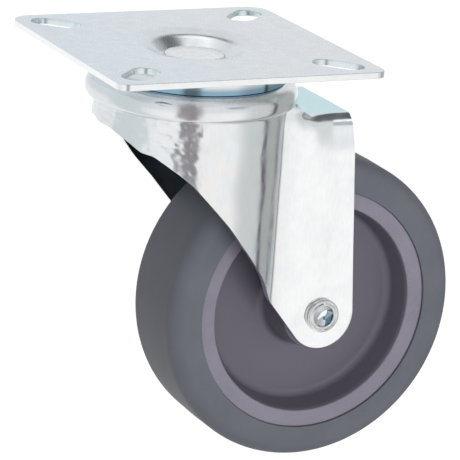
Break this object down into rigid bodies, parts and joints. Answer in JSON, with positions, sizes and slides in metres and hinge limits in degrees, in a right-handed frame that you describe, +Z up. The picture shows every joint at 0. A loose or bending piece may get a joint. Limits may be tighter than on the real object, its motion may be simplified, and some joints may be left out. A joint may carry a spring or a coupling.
{
  "type": "swivel castor",
  "caption": "Swivel castor with a square slotted top plate, a ball-bearing swivel, a pressed sheet fork and a grey rubber-tyred wheel on a riveted axle.",
  "frame": {"origin": "middle of the top plate's upper face, on the kingpin's axis", "axes": "+Z up through the plate, the wheel trails towards +X, the axle lies along Y"},
  "size_m": [0.1346, 0.0884, 0.1348],
  "materials": {
    "zinc_sheet": "bright zinc plate",
    "plated_steel": "dull zinc plate",
    "ball_steel": "polished",
    "hub_plastic": "moulded grey",
    "tyre_rubber": "matte grey"
  },
  "bodies": {
    "plate": {"top_plate": "zinc_sheet", "upper_race_cap": "zinc_sheet", "lower_race_cup": "zinc_sheet", "kingpin": "plated_steel"},
    "fork": {"fork": "zinc_sheet", "axle_sleeve": "plated_steel", "axle_rivet": "plated_steel"},
    "upper_row": {"upper_ball_01": "ball_steel", "upper_ball_02": "ball_steel", "upper_ball_03": "ball_steel", "upper_ball_04": "ball_steel", "upper_ball_05": "ball_steel", "upper_ball_06": "ball_steel", "upper_ball_07": "ball_steel", "upper_ball_08": "ball_steel", "upper_ball_09": "ball_steel", "upper_ball_10": "ball_steel", "upper_ball_11": "ball_steel", "upper_ball_12": "ball_steel", "upper_ball_13": "ball_steel", "upper_ball_14": "ball_steel", "upper_ball_15": "ball_steel", "upper_ball_16": "ball_steel", "upper_ball_17": "ball_steel", "upper_ball_18": "ball_steel", "upper_ball_19": "ball_steel", "upper_ball_20": "ball_steel"},
    "lower_row": {"lower_ball_01": "ball_steel", "lower_ball_02": "ball_steel", "lower_ball_03": "ball_steel", "lower_ball_04": "ball_steel", "lower_ball_05": "ball_steel", "lower_ball_06": "ball_steel", "lower_ball_07": "ball_steel", "lower_ball_08": "ball_steel", "lower_ball_09": "ball_steel", "lower_ball_10": "ball_steel", "lower_ball_11": "ball_steel", "lower_ball_12": "ball_steel", "lower_ball_13": "ball_steel", "lower_ball_14": "ball_steel", "lower_ball_15": "ball_steel", "lower_ball_16": "ball_steel"},
    "wheel": {"wheel_hub": "hub_plastic", "tyre": "tyre_rubber"}
  },
  "joints": [
    {"name": "swivel", "type": "hinge", "parent": "plate", "child": "fork", "pos_m": [0, 0, 0], "axis": [0, 0, 1], "continuous": true},
    {"name": "upper_row_orbit", "type": "hinge", "parent": "plate", "child": "upper_row", "pos_m": [0, 0, 0], "axis": [0, 0, 1], "continuous": true},
    {"name": "lower_row_orbit", "type": "hinge", "parent": "plate", "child": "lower_row", "pos_m": [0, 0, 0], "axis": [0, 0, 1], "continuous": true},
    {"name": "wheel_spin", "type": "hinge", "parent": "fork", "child": "wheel", "pos_m": [0.0404, 0, -0.0848], "axis": [0, 1, 0], "continuous": true}
  ],
  "couplings": [
    {"joint": "upper_row_orbit", "follows": "swivel", "ratio": 0.5},
    {"joint": "lower_row_orbit", "follows": "swivel", "ratio": 0.5}
  ]
}
